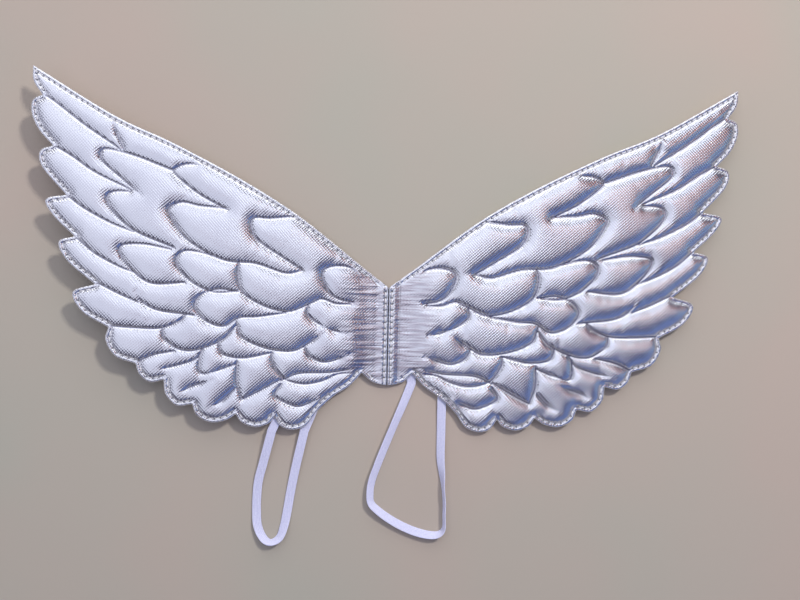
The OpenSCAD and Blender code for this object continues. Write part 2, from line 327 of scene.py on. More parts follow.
def floor_material():
    n = Nodes("floor", Specular_IOR_Level=0.2)
    coordinates = n.add("ShaderNodeTexCoord").outputs["Object"]
    cloud = n.noise(0.22, 2.0, coordinates)
    colour = n.ramp(cloud, [(0.35, (0.45, 0.43, 0.365)), (0.65, (0.50, 0.42, 0.36))])
    grain = n.bump(n.noise(0.004, 2.0, coordinates), 0.02 * MM)
    return n.finish(Base_Color=colour, Normal=grain)


FOIL = foil_material()
LINING = lining_material()
FOAM = foam_material()
THREAD = thread_material()
ELASTIC = elastic_material()


# ---------------------------------------------------------------- curves and meshes
def smooth(points, spacing):
    """A smooth line through the points, cut into even steps of about spacing."""
    p = np.array(points, float)
    p = np.vstack([2 * p[0] - p[1], p, 2 * p[-1] - p[-2]])
    t = np.linspace(0, 1, 12, endpoint=False)[:, None]
    line = [p[1]]
    for a, b, c, d in zip(p, p[1:], p[2:], p[3:]):
        line.extend(0.5 * (2 * b + (c - a) * t + (2 * a - 5 * b + 4 * c - d) * t**2
                           + (3 * b - a - 3 * c + d) * t**3)[1:])
        line.append(c)
    return even(np.array(line), spacing)


def unit(vectors):
    return vectors / np.linalg.norm(vectors, axis=1)[:, None]


def running(line):
    """Distance along the line at each of its points."""
    return np.concatenate([[0], np.cumsum(np.linalg.norm(np.diff(line, axis=0), axis=1))])


def even(line, spacing, axes=None):
    """The same line, cut into even steps of about spacing, measured along its axes."""
    run = running(line[:, :axes])
    count = max(1, round(run[-1] / spacing))
    s = np.linspace(0, run[-1], count + 1)
    return np.stack([np.interp(s, run, line[:, k]) for k in range(line.shape[1])], 1)


def ramp(v, low, high):
    t = np.clip((v - low) / (high - low), 0, 1)
    return t * t * (3 - 2 * t)


def new_piece(name, points, polygons, material, slot, cut=None, **marks):
    """A smooth-shaded mesh object. cut is each point's place on the cut cloth, and the
    marks are values at each point that its material reads."""
    mesh = bpy.data.meshes.new(name)
    mesh.from_pydata([tuple(p) for p in points], [], [tuple(int(i) for i in p) for p in polygons])
    mesh.polygons.foreach_set("use_smooth", [True] * len(mesh.polygons))
    mesh.materials.append(material)
    cut = np.asarray(points if cut is None else cut, float)
    mesh.attributes.new("cut", "FLOAT_VECTOR", "POINT").data.foreach_set("vector", cut.ravel())
    for key, values in marks.items():
        mesh.attributes.new(key, "FLOAT", "POINT").data.foreach_set("value", values)
    piece = new_object(name, mesh)
    return piece


def band_faces(n, m):
    """Faces of a closed band with flat ends: n rings of m points."""
    faces = [(i * m + k, i * m + (k + 1) % m, (i + 1) * m + (k + 1) % m, (i + 1) * m + k)
             for i in range(n - 1) for k in range(m)]
    return faces + [tuple(range(m))[::-1], tuple((n - 1) * m + k for k in range(m))]


class Batch:
    """Many small closed bands gathered into one piece."""

    def __init__(self):
        self.points, self.faces, self.cut = [], [], []
        self.count = 0

    def add(self, line, ups, section):
        """A band: the section's (across, up) points carried along the line. Its place on
        the cut cloth is the distance along it and across it."""
        step = unit(np.gradient(line, axis=0))
        sides = unit(np.cross(step, ups))
        ups = np.cross(sides, step)
        section = np.array(section)
        points = (line[:, None] + sides[:, None] * section[None, :, :1]
                  + ups[:, None] * section[None, :, 1:]).reshape(-1, 3)
        self.cut.append(np.column_stack([np.repeat(running(line), len(section)),
                                         np.tile(section[:, 0], len(line)), np.zeros(len(points))]))
        self.points.append(points)
        faces = band_faces(len(line), len(section))
        self.faces.extend(tuple(i + self.count for i in f) for f in faces)
        self.count += len(points)

    def stitch(self, a, b, rise, section):
        """A thread between two needle holes: down into both, and up in between."""
        t = np.array([0, 0.06, 0.2, 0.5, 0.8, 0.94, 1])
        lift = np.array([-0.55, -0.1, 0.75, 1, 0.75, -0.1, -0.55]) * rise
        line = a + (b - a) * t[:, None]
        line[:, 2] += lift
        self.add(line, np.array([0, 0, 1.0]), section)

    def make(self, name, material, slot):
        return new_piece(name, np.vstack(self.points), self.faces, material, slot, np.vstack(self.cut))

    def sew(self, name, body, node):
        """The piece as stitches on a body, in place of a CAD node."""
        piece = self.make(name, THREAD, "thread")
        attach(piece, body)
        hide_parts(node)


def round_section(radius, flat=1.0):
    turn = np.arange(6) * 2 * math.pi / 6
    return [(radius * math.cos(a), radius * flat * math.sin(a)) for a in turn]


# ---------------------------------------------------------------- places in the CAD
def joint_place(name):
    return [joint for joint in frame["joints"] if joint["name"] == name][0]["pos_m"]


class Wing:
    """One wing's place in the CAD, and the outline of its panel in flat coordinates."""

    def __init__(self, side):
        self.side = side
        self.sign = -1 if side == "left" else 1
        x, _, z = joint_place(f"{side}_wing_flap")
        self.hinge = np.array([abs(x), z])
        mesh = frame["nodes"][f"{side}_wing_backing"].data
        co = np.array([v.co for v in mesh.vertices], float)
        self.lift = math.atan(np.polyfit(co[:, 0] * self.sign, co[:, 2], 1)[0])
        flat = self.flatten(co)
        self.back_z, self.face_z = flat[:, 2].min(), flat[:, 2].max()
        self.web_z = self.face_z + WEB_RISE
        self.panel_x = flat[:, 0].min()
        self.stretches = self.outline(mesh, flat)
        self.loop = np.vstack([s[:-1] for s in self.stretches])

    def flatten(self, co):
        x, z = co[:, 0] * self.sign - self.hinge[0], co[:, 2] - self.hinge[1]
        c, s = math.cos(self.lift), math.sin(self.lift)
        return np.stack([x * c + z * s + self.hinge[0], co[:, 1], z * c - x * s + self.hinge[1]], 1)

    def place(self, co):
        """Flat coordinates to the CAD frame. Points inside the hinge line stay level."""
        x, z = co[:, 0] - self.hinge[0], co[:, 2] - self.hinge[1]
        turn = self.lift * np.clip((x + HINGE_BLEND) / (2 * HINGE_BLEND), 0, 1)
        c, s = np.cos(turn), np.sin(turn)
        return np.stack([self.sign * (x * c - z * s + self.hinge[0]), co[:, 1],
                         x * s + z * c + self.hinge[1]], 1)

    def outline(self, mesh, flat):
        """The panel's outline as smooth stretches between its corners, from the seam's
        top round the tips to the seam's bottom and back up the seam."""
        mesh.calc_loop_triangles()
        key = {}
        ids = [key.setdefault((round(x, 5), round(y, 5)), len(key)) for x, y in flat[:, :2]]
        near = {}
        for tri in mesh.loop_triangles:
            corners = {ids[v] for v in tri.vertices}
            if len(corners) == 2:
                a, b = corners
                near.setdefault(a, set()).add(b)
                near.setdefault(b, set()).add(a)
        points = np.array(list(key))
        root = np.flatnonzero(points[:, 0] < points[:, 0].min() + 0.1 * MM)
        top = max((i for i in root if i in near), key=lambda i: points[i, 1])
        bottom = min((i for i in root if i in near), key=lambda i: points[i, 1])
        order, last = [top], bottom
        while order[-1] != bottom:
            step = [n for n in near[order[-1]] if n != last and not (len(order) == 1 and n == bottom)]
            last = order[-1]
            order.append(step[0])
        low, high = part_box(f"{self.side}_seam_fold")
        seam_x = min(abs(low.x), abs(high.x))
        line = np.vstack([[seam_x, high.y], points[order], [seam_x, low.y]])
        step = np.diff(line, axis=0)
        turn = np.abs(np.diff(np.unwrap(np.arctan2(step[:, 1], step[:, 0]))))
        corners = [0] + [i + 1 for i in np.flatnonzero(turn > math.radians(35))] + [len(line) - 1]
        stretches = [smooth(line[a:b + 1], 1.0 * MM) for a, b in zip(corners, corners[1:])]
        return stretches + [even(line[[-1, 0]], 1.0 * MM)]

    def loop_from(self, x):
        """The outline, cut off along a line beside the seam."""
        kept = self.loop[self.loop[:, 0] > x + 0.3 * MM]
        close = even(np.array([[x, kept[-1, 1]], [x, kept[0, 1]]]), 1.0 * MM)
        return np.vstack([kept, close])


wings = {side: Wing(side) for side in SIDES}


# ---------------------------------------------------------------- elastic arm loops
def elastic_path(side):
    """The elastic's middle line and roll, from its upper anchor under the wing, out
    along the free route and back to its lower anchor."""
    wing = wings[side]
    level = wing.back_z - 0.8 * MM
    legs = []
    for anchor, exit in zip(ANCHORS[side], EXITS[side]):
        flat = np.array([[abs(x) * MM, y * MM + SEAM_Y, level] for x, y in (anchor, exit)])
        flat[1] += (flat[0] - flat[1]) * 2 * MM / running(flat)[-1]
        leg = even(wing.place(flat), 20 * MM)
        legs.append(np.column_stack([leg, np.zeros(len(leg))]))
    free = np.array(ROUTES[side], float) * (MM, MM, MM, 1) + (0, SEAM_Y, 0, 0)
    whole = np.vstack([legs[0], free, legs[1][::-1]])
    scale = (1, 1, 1, 1000)
    return even(smooth(whole / scale, 0.5 * MM) * scale, 1.0 * MM, 3)


def band_section():
    """Half the elastic's section mirrored: ribbed on both faces, with round edges."""
    half = STRAP_W / 2 - 0.35 * MM
    across = np.linspace(-half, half, 19)
    rib = STRAP_T / 2 - 0.07 * MM + 0.07 * MM * np.cos(across / half * 5 * math.pi)
    top = list(zip(across, rib))
    corner = STRAP_W / 2 - 0.08 * MM
    half_turn = top + [(corner, STRAP_T * 0.3), (STRAP_W / 2, 0), (corner, -STRAP_T * 0.3)]
    return half_turn + [(-a, -b) for a, b in half_turn]


def make_elastic(side):
    path = elastic_path(side)
    line, roll = path[:, :3], np.radians(path[:, 3])
    step = unit(np.gradient(line, axis=0))
    level = unit(np.stack([-step[:, 1], step[:, 0], np.zeros(len(line))], 1))
    rise = np.cross(step, level)
    rise[rise[:, 2] < 0] *= -1
    ups = rise * np.cos(roll)[:, None] - level * np.sin(roll)[:, None]
    batch = Batch()
    batch.add(line, ups, band_section())
    elastic = batch.make(f"{side}_elastic", ELASTIC, "elastic")
    a, b = (np.array([x * MM, y * MM + SEAM_Y]) for x, y in EXITS[side])
    across = np.array([(b - a)[1], -(b - a)[0]]) / np.linalg.norm(b - a)
    middle = (a + b) / 2
    if across @ (line[len(line) // 2, :2] - middle) < 0:
        across = -across
    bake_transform(elastic)
    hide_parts(*(f"{side}_strap_{part}" for part in ("upper_leg", "lower_leg", "loop")))


for side in SIDES:
    make_elastic(side)


# ---------------------------------------------------------------- pad shape
def near_segments(x, y, line, reach):
    """Distance from each point to the line, where it is within reach."""
    out = np.full(x.shape, np.inf)
    for a, b in zip(line, line[1:]):
        lo, hi = np.minimum(a, b) - reach, np.maximum(a, b) + reach
        hit = (x > lo[0]) & (x < hi[0]) & (y > lo[1]) & (y < hi[1])
        if hit.any():
            d, u, v = b - a, x[hit] - a[0], y[hit] - a[1]
            t = np.clip((u * d[0] + v * d[1]) / max(d @ d, 1e-18), 0, 1)
            out[hit] = np.minimum(out[hit], np.hypot(u - t * d[0], v - t * d[1]))
    return out


def inside(x, y, loop):
    odd = np.zeros(x.shape, bool)
    for (ax, ay), (bx, by) in zip(loop, np.roll(loop, -1, 0)):
        cross = (ay > y) != (by > y)
        if cross.any():
            odd ^= cross & (x < ax + (y - ay) * (bx - ax) / (by - ay if by != ay else 1e-12))
    return odd


class Grid:
    """Values on a regular grid over the panel, read anywhere between its nodes."""

    def __init__(self, loop):
        self.low = loop.min(0) - 2 * MM
        size = loop.max(0) + 2 * MM - self.low
        self.nx, self.ny = (int(v / CELL) + 1 for v in size)
        gx = self.low[0] + np.arange(self.nx) * CELL
        gy = self.low[1] + np.arange(self.ny) * CELL
        self.x, self.y = np.meshgrid(gx, gy)

    def read(self, values, points):
        u = np.clip((points[:, 0] - self.low[0]) / CELL, 0, self.nx - 1.001)
        v = np.clip((points[:, 1] - self.low[1]) / CELL, 0, self.ny - 1.001)
        i, j = u.astype(int), v.astype(int)
        s, t = u - i, v - j
        return ((values[j, i] * (1 - s) + values[j, i + 1] * s) * (1 - t)
                + (values[j + 1, i] * (1 - s) + values[j + 1, i + 1] * s) * t)


def blur(values, count):
    for _ in range(count):
        for axis in (0, 1):
            values = (np.roll(values, 1, axis) + 2 * values + np.roll(values, -1, axis)) / 4
    return values


def relax(h, fixed, hold, loft, k):
    for _ in range(RELAX_STEPS):
        around = np.roll(h, 1, 0) + np.roll(h, -1, 0) + np.roll(h, 1, 1) + np.roll(h, -1, 1)
        h = np.where(fixed, hold, (around + k * loft) / (4 + k))
    return h


def membrane(fixed, hold, loft, softness):
    """A sheet pushed up to loft that is held at the fixed cells, on every third cell
    first and then on all of them."""
    wide = fixed.copy()
    for axis in (0, 1):
        wide |= np.roll(fixed, 1, axis) | np.roll(fixed, -1, axis)
    coarse = [v[::3, ::3] for v in (loft * 0.7, wide, hold, loft)]
    h = relax(*coarse, (3 * CELL / softness) ** 2)
    h = blur(np.repeat(np.repeat(h, 3, 0), 3, 1)[:fixed.shape[0], :fixed.shape[1]], 4)
    return relax(h, fixed, hold, loft, (CELL / softness) ** 2)


LINES = [smooth(np.array(line) * MM + (0, SEAM_Y), 0.8 * MM) for line in FEATHERS]


def groove_fade(grid, closed):
    """1 along the grooves, and 0 at each end of a line that meets nothing."""
    fade = np.ones(grid.x.shape)
    for i, line in enumerate(LINES):
        for end in (line[0], line[-1]):
            x, y = np.array([end[0]]), np.array([end[1]])
            others = [closed] + [other for j, other in enumerate(LINES) if j != i]
            if min(near_segments(x, y, other, 4 * MM)[0] for other in others) > 3.5 * MM:
                away = np.hypot(grid.x - end[0], grid.y - end[1])
                fade = np.minimum(fade, ramp(away, 0.5 * MM, GROOVE_END))
    return fade


def pad_shape(wing):
    """Height of the facing above the web: soft pads held down at the grooves and at
    the stitched border, like a membrane over foam."""
    grid = Grid(wing.loop)
    closed = np.vstack([wing.loop, wing.loop[:1]])
    rim = near_segments(grid.x, grid.y, closed, FAR)
    groove = np.full(grid.x.shape, np.inf)
    for line in LINES:
        groove = np.minimum(groove, near_segments(grid.x, grid.y, line, 3 * MM))
    body = inside(grid.x, grid.y, wing.loop)
    border = ~body | (rim < ROW_INSET + 0.3 * MM)
    fixed = border | (groove < GROOVE_HALF)
    fade = groove_fade(grid, closed)
    root = 0.25 * ramp(grid.x, 4 * MM, 12 * MM) + 0.75 * ramp(grid.x, 12 * MM, 34 * MM)
    wing.grid, wing.rim, wing.groove = grid, np.minimum(rim, FAR), np.minimum(groove, FAR)
    # painted shade along the grooves, which the foil's colour reads
    wing.crease = np.exp(-(groove / GROOVE_SHADE_HALF) ** 2) * fade
    wing.pads = 0
    for loft, softness in ((PAD_LOFT, PAD_SOFTNESS), (DOME_LOFT, DOME_SOFTNESS)):
        hold = np.where(border, 0, loft * root * 0.8 * (1 - fade))
        wing.pads = wing.pads + membrane(fixed, hold, loft * root, softness)


def puff(wing, ease):
    """Cloth simulation of the facing. It is held along the embossed lines and the
    stitched edge, is cut larger by its ease, and the foam presses it up between them.
    What it moves is added to the pads' height."""
    grid = wing.grid
    pick = np.ix_(np.arange(0, grid.ny, CLOTH_CELLS), np.arange(0, grid.nx, CLOTH_CELLS))
    x, y, h, rim, groove = (v[pick] for v in (grid.x, grid.y, wing.pads, wing.rim, wing.groove))
    body = inside(x, y, wing.loop) & (rim > 1.2 * MM) & (x > 8 * MM)
    number = np.where(body, np.cumsum(body.ravel()).reshape(body.shape) - 1, -1)
    quads = np.stack([number[:-1, :-1], number[:-1, 1:], number[1:, 1:], number[1:, :-1]], -1).reshape(-1, 4)
    quads = quads[(quads >= 0).all(1)]
    start = np.stack([x[body], y[body], h[body]], 1) * CLOTH_SCALE
    mesh = bpy.data.meshes.new("cloth")
    mesh.from_pydata(start.tolist(), [], quads.tolist())
    cloth = new_object("cloth", mesh)
    held = cloth.vertex_groups.new(name="held")
    pinned = (groove < CLOTH_HELD) | (rim < ROW_INSET + 1.0 * MM) | (x < CLOTH_ROOT)
    held.add([int(i) for i in number[body & pinned]], 1.0, "REPLACE")
    modifier = cloth.modifiers.new("cloth", "CLOTH")
    modifier.collision_settings.use_collision = False
    settings = modifier.settings
    settings.quality = 5
    settings.vertex_group_mass = "held"
    settings.use_pressure = True
    settings.uniform_pressure_force = 5.0
    settings.shrink_min = -ease
    settings.bending_stiffness = 0.2
    settings.effector_weights.gravity = 0.0
    for frame_number in range(1, CLOTH_FRAMES + 1):
        scene.frame_set(frame_number)
    settled = cloth.evaluated_get(bpy.context.evaluated_depsgraph_get()).data
    end = np.zeros(len(start) * 3, np.float32)
    settled.vertices.foreach_get("co", end)
    rise = np.zeros(body.shape)
    rise[body] = (end.reshape(-1, 3)[:, 2] - start[:, 2]) / CLOTH_SCALE
    bpy.data.objects.remove(cloth)
    scene.frame_set(1)
    rise = blur(CLOTH_CAP * np.tanh(rise / CLOTH_CAP), 1)
    rows, cols = np.arange(grid.ny) / CLOTH_CELLS, np.arange(grid.nx) / CLOTH_CELLS
    wide = np.array([np.interp(cols, np.arange(body.shape[1]), row) for row in rise])
    whole = np.array([np.interp(rows, np.arange(body.shape[0]), column) for column in wide.T]).T
    free = ramp(wing.groove, 0.5 * MM, 2.6 * MM) * ramp(wing.rim, ROW_INSET + 0.8 * MM, ROW_INSET + 3.4 * MM)
    wing.pads = wing.pads + free * ramp(grid.x, 14 * MM, 26 * MM) * blur(whole, 8)


# The wings are mirror images, so the pads' shape is solved once. The left one is padded a
# little less, and the facings are cut with a different ease, as no two sewn pieces match.
LEFT_RELIEF = 0.76
pad_shape(wings["right"])
for name in ("grid", "rim", "groove", "crease", "pads"):
    setattr(wings["left"], name, getattr(wings["right"], name))
wings["left"].pads = wings["left"].pads * LEFT_RELIEF
puff(wings["left"], 0.010)
puff(wings["right"], 0.030)


# The right wing's facing beside the seam: a raised fold with a sharp outer edge, a band
# that slopes away from it, and the edge of the gathered panel. Distance, height, in mm.
RIGHT_SEAM = np.array([(0, 0.85), (3.1, 0.95), (3.5, 0.5), (4.0, 0.7), (7.6, -0.55), (8.1, 0.1), (10, 0)])


def face_height(wing, p):
    """Height of the facing's upper surface above the web."""
    x, y = p[:, 0], p[:, 1]
    h = wing.grid.read(wing.pads, p)
    rim = wing.grid.read(wing.rim, p)
    hem = np.clip(rim / ROW_INSET, 0, 1)
    h = h + 0.55 * MM * np.sin(math.pi * hem) * ramp(x, 5 * MM, 9 * MM)
    if wing.sign < 0:
        ridge = 0.85 * MM * (1 - ramp(x, 2.8 * MM, 9.0 * MM))
    else:
        ridge = np.interp(x, RIGHT_SEAM[:, 0] * MM, RIGHT_SEAM[:, 1] * MM)
    ridge = ridge - 0.5 * MM * (1 - ramp(x, 0.1 * MM, 0.6 * MM))
    pinch = 0.5 + 0.5 * np.cos((y - wing.seam_holes[0, 1]) / STITCH_PITCH * 2 * math.pi)
    dip = 0.25 * MM * np.exp(-((x - TOPSTITCH_X) / (0.5 * MM)) ** 2)
    h = h + ridge - dip - 0.22 * MM * pinch * np.exp(-((x - TOPSTITCH_X) / (1.6 * MM)) ** 2)
    streaked = np.flatnonzero((x > 2 * MM) & (x < 40 * MM))
    size = ramp(x, 3 * MM, 9 * MM) * (1 - ramp(x, 20 * MM, 40 * MM)) * ramp(rim, 2.5 * MM, 5 * MM)
    streak = np.zeros(len(p))
    streak[streaked] = [noise.noise(Vector((x[i] * 45, y[i] * 520, 3.1 * wing.sign)))
                        + 0.6 * noise.noise(Vector((x[i] * 30, y[i] * 210, 7.7 * wing.sign)))
                        for i in streaked]
    return h + 0.24 * MM * size * streak


# ---------------------------------------------------------------- panel mesh
def beside(line, distance):
    step = np.gradient(line, axis=0)
    return line + unit(np.stack([-step[:, 1], step[:, 0]], 1)) * distance


def thin_out(points, gap):
    """Drops each point that lies within gap of an earlier one."""
    kept, cells = [], {}
    for p in points:
        cx, cy = int(p[0] // gap), int(p[1] // gap)
        close = any(
            (p[0] - q[0]) ** 2 + (p[1] - q[1]) ** 2 < gap * gap
            for i in (-1, 0, 1) for j in (-1, 0, 1) for q in cells.get((cx + i, cy + j), ()))
        if not close:
            cells.setdefault((cx, cy), []).append(p)
            kept.append(p)
    return np.array(kept)


def lattice(low, high, pitch, loop):
    """Evenly spaced points inside the loop, in rows of triangles."""
    gx = np.arange(low[0], high[0], pitch)
    gy = np.arange(low[1], high[1], pitch * 0.866)
    x, y = np.meshgrid(gx, gy)
    x = x + (np.arange(len(gy)) % 2)[:, None] * pitch / 2
    x, y = x.ravel(), y.ravel()
    return np.stack([x, y], 1)[inside(x, y, loop)]


def edge_stitches(wing):
    """The two ends of every edge stitch, in flat coordinates."""
    found = []
    for stretch in wing.stretches[:-1]:
        row = beside(stretch, -ROW_INSET)
        run = running(row)
        count = max(1, int((run[-1] - STITCH_L / 2) // STITCH_PITCH))
        start = (run[-1] - (count - 1) * STITCH_PITCH) / 2
        for s in start + np.arange(count) * STITCH_PITCH:
            ends = [[np.interp(s + k * STITCH_L / 2, run, row[:, c]) for c in (0, 1)] for k in (-1, 1)]
            if ends[0][0] + ends[1][0] > 2 * (wing.panel_x + STITCH_L):
                found.append(ends)
    return np.array(found)


FACE_PITCH = 1.2 * MM        # of the facing's points, away from its edge and lines
FACE_ROWS = [v * MM for v in (0.4, 0.8, 1.2, 1.7, 2.1, 2.5, 3.0, 3.7)]


def face_points(wing):
    """Points over the facing, closer together along its edge, its stitches, its
    embossed lines and the gathered root, and how many of them make its edge."""
    rim, groove = wing.rim, wing.groove
    edge = thin_out(wing.loop, 0.38 * MM)
    parts = [edge, wing.holes]
    parts += [line[wing.grid.read(rim, line) > 1.0 * MM] for line in LINES]
    for d in FACE_ROWS:
        for stretch in wing.stretches:
            row = beside(stretch, -d)
            parts.append(row[np.abs(wing.grid.read(rim, row) - d) < 0.25 * d])
        for line in LINES:
            for side in (-0.8, 0.8):
                row = beside(line, side * d)
                good = np.abs(wing.grid.read(groove, row) - d * 0.8) < 0.2 * d
                parts.append(row[good & (d < 2.2 * MM) & (wing.grid.read(rim, row) > 1.6 * MM)])
    high = wing.loop.max(0)
    for corner, pitch, margin in (
            ((38 * MM, high[1]), FACE_PITCH / 2, 0.4 * MM), (high, FACE_PITCH, max(FACE_ROWS) * 1.1)):
        field = lattice(wing.grid.low, corner, pitch, wing.loop)
        parts.append(field[wing.grid.read(rim, field) > margin])
    return thin_out(np.vstack(parts), 0.36 * MM), len(edge)


def triangles(points, loop_size):
    """Triangles between the points, inside the loop that the first points make. Those
    have to be far enough apart for thin_out to keep them all."""
    edges = [(i, (i + 1) % loop_size) for i in range(loop_size)]
    co, _, faces, _, _, _ = delaunay_2d_cdt([Vector(p) for p in points / MM], edges, [], 0, 1e-6, False)
    co, faces = np.array([c[:] for c in co]) * MM, np.array(faces)
    middle = co[faces].mean(1)
    return co, faces[inside(middle[:, 0], middle[:, 1], points[:loop_size])]


def slab(name, wing, points, faces, top, bottom, material, slot, **marks):
    """A closed sheet over the panel, from its top and bottom heights at each point. The
    marks are on its upper side only."""
    n = len(points)
    upper = np.column_stack([points, top])
    lower = np.column_stack([points, bottom])
    directed = {(f[i], f[(i + 1) % 3]) for f in faces.tolist() for i in range(3)}
    border = [(a, b) for a, b in directed if (b, a) not in directed]
    polygons = faces.tolist() + [[v + n for v in f[::-1]] for f in faces.tolist()]
    polygons += [(b, a, a + n, b + n) for a, b in sorted(border)]
    if wing.sign < 0:
        polygons = [p[::-1] for p in polygons]
    rim = 1 - ramp(wing.grid.read(wing.rim, points), 0.1 * MM, 0.9 * MM)
    rim = rim * (points[:, 0] > wing.panel_x)
    cut = np.vstack([upper, lower]) * (wing.sign, 1, 1)
    marks = {key: np.concatenate([values, values * 0]) for key, values in marks.items()}
    return new_piece(name, wing.place(np.vstack([upper, lower])), polygons, material, slot, cut,
                     rim=np.concatenate([rim, rim]), **marks)


def bend_at_seam(piece):
    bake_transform(piece)


def make_foam(wing):
    """The pad between the two sheets, with its upper side a little inside the facing."""
    low = wing.pads
    for _ in range(4):
        low = np.minimum.reduce([low] + [np.roll(low, s, a) for s in (-1, 1) for a in (0, 1)])
    inset = wing.loop_from(wing.panel_x + 2 * MM)
    step = np.roll(inset, -1, 0) - np.roll(inset, 1, 0)
    inner = inset + unit(np.stack([step[:, 1], -step[:, 0]], 1)) * BORDER_W
    deep = wing.grid.read(wing.rim, inner) > BORDER_W * 0.93
    inner = thin_out(inner[deep], 0.9 * MM)
    field = lattice(wing.grid.low, wing.loop.max(0), 2.2 * MM, inner)
    points, faces = triangles(thin_out(np.vstack([inner, field]), 0.85 * MM), len(inner))
    bottom = np.full(len(points), wing.face_z)
    top = wing.web_z - FACE_T - 0.05 * MM + np.maximum(wing.grid.read(low, points), 0)
    foam = slab(f"{wing.side}_foam", wing, points, faces, top, bottom, FOAM, "foam")
    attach(foam, f"{wing.side}_wing")
    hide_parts(f"{wing.side}_wing_foam")
    return foam


def make_backing(wing):
    loop = thin_out(wing.loop_from(4.6 * MM), 0.72 * MM)
    field = lattice(wing.grid.low, loop.max(0), 2.0 * MM, loop)
    parts = [loop] + [line[wing.grid.read(wing.rim, line) > 1.5 * MM] for line in LINES]
    parts += [beside(line, s * MM)[wing.grid.read(wing.rim, line) > 3 * MM]
              for line in LINES for s in (-1, 1)]
    parts.append(field[wing.grid.read(wing.rim, field) > 0.9 * MM])
    points, faces = triangles(thin_out(np.vstack(parts), 0.7 * MM), len(loop))
    groove = wing.grid.read(wing.groove, points)
    rim = wing.grid.read(wing.rim, points)
    dent = 0.25 * MM * np.exp(-(groove / (0.8 * MM)) ** 2)
    dent = np.maximum(dent, 0.2 * MM * np.exp(-((rim - ROW_INSET) / (0.6 * MM)) ** 2))
    top = np.full(len(points), wing.face_z - 0.05 * MM)
    backing = slab(f"{wing.side}_backing", wing, points, faces, top, wing.back_z + dent, LINING, "lining")
    bend_at_seam(backing)
    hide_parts(f"{wing.side}_wing_backing")


def make_face(wing):
    points, faces = triangles(*face_points(wing))
    # needle holes: dented into the facing, and the same mask paints them near-black as painted shade
    pit = np.zeros(len(points))
    for hole in wing.holes[::7]:
        width = (0.75 if hole[0] < 2 * TOPSTITCH_X else 0.58) * MM
        pit = np.maximum(pit, np.exp(-((points - hole) ** 2).sum(1) / width ** 2))
    top = wing.web_z + face_height(wing, points) - 0.8 * MM * pit
    x, rim = points[:, 0], wing.grid.read(wing.rim, points)
    # gathered zone by the seam: wrinkle bumps, and painted shade in the foil's colour
    gather = ramp(x, 0.5 * MM, 3 * MM) * (1 - ramp(x, 16 * MM, 42 * MM)) * ramp(rim, 2 * MM, 5 * MM)
    face = slab(f"{wing.side}_face", wing, points, faces, top, top - FACE_T, FOIL, "foil",
                pit=np.clip(pit * 1.6 - 0.3, 0, 1), gather=gather,
                crease=wing.grid.read(wing.crease, points) * ramp(rim, 1.2 * MM, 2.0 * MM))
    bend_at_seam(face)
    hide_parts(f"{wing.side}_wing_face")


# Section of the margin in mm, distance from the seam and height: down beside the seam,
# out and back under itself, out again, and up inside the fold.
FOLD = [(0.85, 2.2), (0.34, 1.9), (0.26, 1.2), (0.35, 0.55), (0.8, 0.12), (2.5, 0.08), (4.3, 0.1),
        (4.45, 0.35), (4.3, 0.6), (2.5, 0.64), (1.3, 0.66), (1.15, 0.75), (1.3, 0.84), (2.5, 0.86),
        (4.0, 0.88), (4.15, 1.1), (4.0, 1.32), (2.5, 1.36), (1.5, 1.4), (1.25, 1.7), (1.3, 2.15)]


def make_seam_allowance(wing):
    """The panel's margin, turned under twice along the seam."""
    low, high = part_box(f"{wing.side}_seam_fold")
    profile = np.array(FOLD) * MM
    ys = np.linspace(low.y, high.y, 46)
    points = []
    for y in ys:
        wave = noise.noise(Vector((y * 160, 2.3 * wing.sign, 0))) * 0.35 * MM
        free = ramp(profile[:, 0], 2.0 * MM, 4.3 * MM)
        points.append(np.column_stack([(profile[:, 0] + wave * free) * wing.sign,
                                       np.full(len(profile), y), profile[:, 1]]))
    faces = band_faces(len(ys), len(profile))
    if wing.sign < 0:
        faces = [f[::-1] for f in faces]
    points = np.vstack(points)
    run = np.tile(running(profile), len(ys))
    piece = new_piece(f"{wing.side}_seam_allowance", points, faces, FOIL, "foil",
                      np.column_stack([run, points[:, 1], points[:, 2] * 0]))
    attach(piece, "centre_seam")
    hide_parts(f"{wing.side}_seam_fold")


# ---------------------------------------------------------------- stitches
def make_edge_threads(wing):
    needle, bobbin = Batch(), Batch()
    for ends in wing.ends:
        for batch, rise, level in (
                (needle, 0.25 * MM, wing.web_z + face_height(wing, ends)),
                (bobbin, -0.2 * MM, np.full(2, wing.back_z + 0.12 * MM))):
            a, b = wing.place(np.column_stack([ends, level]))
            batch.stitch(a, b, rise, round_section(THREAD_R, flat=0.8))
    for batch, kind in ((needle, "needle"), (bobbin, "bobbin")):
        batch.sew(f"{wing.side}_edge_{kind}_stitches", f"{wing.side}_wing", f"{wing.side}_edge_{kind}_thread")


def ringed(middle):
    """A needle hole's middle with six points around it."""
    turn = np.arange(6) * math.pi / 3
    return [middle] + list(middle + 0.5 * MM * np.stack([np.cos(turn), np.sin(turn)], 1))


def seam_stitches(node):
    """The y of both ends of each stitch of a row along the seam."""
    low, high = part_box(node)
    count = round((high.y - low.y - STITCH_L) / STITCH_PITCH) + 1
    starts = low.y + np.arange(count) * STITCH_PITCH
    return [(y, y + STITCH_L) for y in starts]


def make_topstitch(wing):
    batch = Batch()
    x, z = wing.sign * TOPSTITCH_X, wing.web_z + 0.62 * MM
    for ends in seam_stitches(f"{wing.side}_seam_topstitch"):
        a, b = (np.array([x, y, z]) for y in ends)
        batch.stitch(a, b, 0.42 * MM, round_section(THREAD_R * 1.25, flat=0.8))
    batch.sew(f"{wing.side}_topstitching", "centre_seam", f"{wing.side}_seam_topstitch")


